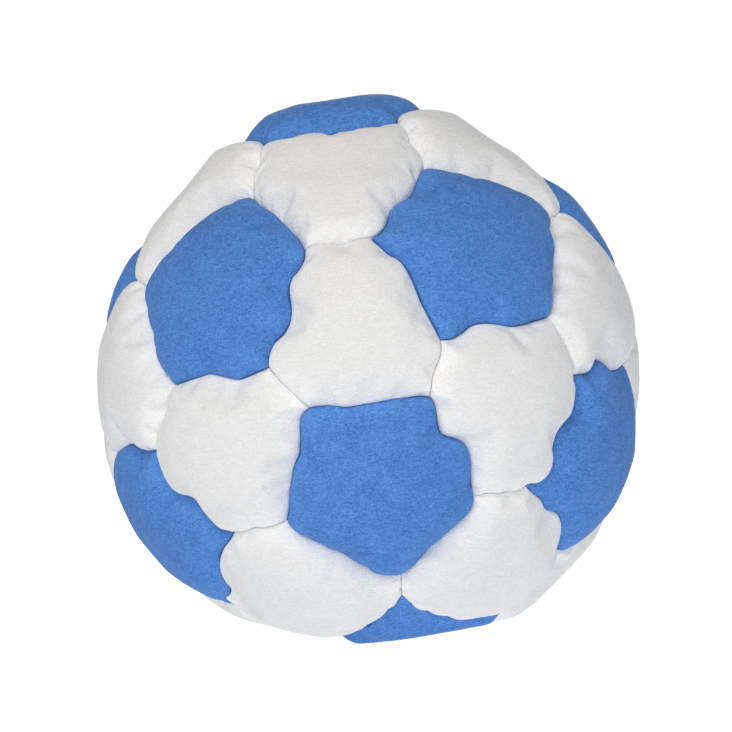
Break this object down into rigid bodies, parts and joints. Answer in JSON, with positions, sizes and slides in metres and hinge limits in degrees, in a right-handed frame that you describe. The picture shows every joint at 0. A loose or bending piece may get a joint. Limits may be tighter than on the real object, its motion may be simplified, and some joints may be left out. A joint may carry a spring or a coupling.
{
  "type": "juggling ball",
  "caption": "Round soft juggling ball of pentagon and hexagon suede panels sewn edge to edge round a pellet fill, with a flat patch to rest on.",
  "frame": {"origin": "middle of the flat patch below the base pentagon, where the ball rests", "axes": "+Z through the middle of the top pentagon; a pentagon of the lower ring faces -Y"},
  "size_m": [0.0564, 0.0568, 0.0562],
  "materials": {
    "blue_suede": "brushed mid-blue microfibre suede",
    "white_suede": "brushed off-white microfibre suede",
    "seam_thread": "bonded polyester sewing thread",
    "pellets": "natural polypropylene pellets in bulk"
  },
  "bodies": {
    "root": {"pentagon_panel_top": "blue_suede", "pentagon_panel_upper_1": "blue_suede", "pentagon_panel_upper_2": "blue_suede", "pentagon_panel_upper_3": "blue_suede", "pentagon_panel_upper_4": "blue_suede", "pentagon_panel_upper_5": "blue_suede", "pentagon_panel_lower_1": "blue_suede", "pentagon_panel_lower_2": "blue_suede", "pentagon_panel_lower_3": "blue_suede", "pentagon_panel_lower_4": "blue_suede", "pentagon_panel_lower_5": "blue_suede", "pentagon_panel_base": "blue_suede", "hexagon_panel_crown_1": "white_suede", "hexagon_panel_crown_2": "white_suede", "hexagon_panel_crown_3": "white_suede", "hexagon_panel_crown_4": "white_suede", "hexagon_panel_crown_5": "white_suede", "hexagon_panel_upper_belt_1": "white_suede", "hexagon_panel_upper_belt_2": "white_suede", "hexagon_panel_upper_belt_3": "white_suede", "hexagon_panel_upper_belt_4": "white_suede", "hexagon_panel_upper_belt_5": "white_suede", "hexagon_panel_lower_belt_1": "white_suede", "hexagon_panel_lower_belt_2": "white_suede", "hexagon_panel_lower_belt_3": "white_suede", "hexagon_panel_lower_belt_4": "white_suede", "hexagon_panel_lower_belt_5": "white_suede", "hexagon_panel_foot_1": "white_suede", "hexagon_panel_foot_2": "white_suede", "hexagon_panel_foot_3": "white_suede", "hexagon_panel_foot_4": "white_suede", "hexagon_panel_foot_5": "white_suede", "seam_thread_top": "seam_thread", "seam_thread_upper_1": "seam_thread", "seam_thread_upper_2": "seam_thread", "seam_thread_upper_3": "seam_thread", "seam_thread_upper_4": "seam_thread", "seam_thread_upper_5": "seam_thread", "seam_thread_lower_1": "seam_thread", "seam_thread_lower_2": "seam_thread", "seam_thread_lower_3": "seam_thread", "seam_thread_lower_4": "seam_thread", "seam_thread_lower_5": "seam_thread", "seam_thread_base": "seam_thread", "seam_thread_short_crown": "seam_thread", "seam_thread_short_upper": "seam_thread", "seam_thread_short_belt": "seam_thread", "seam_thread_short_lower": "seam_thread", "seam_thread_short_foot": "seam_thread", "pellet_fill": "pellets"}
  },
  "joints": []
}
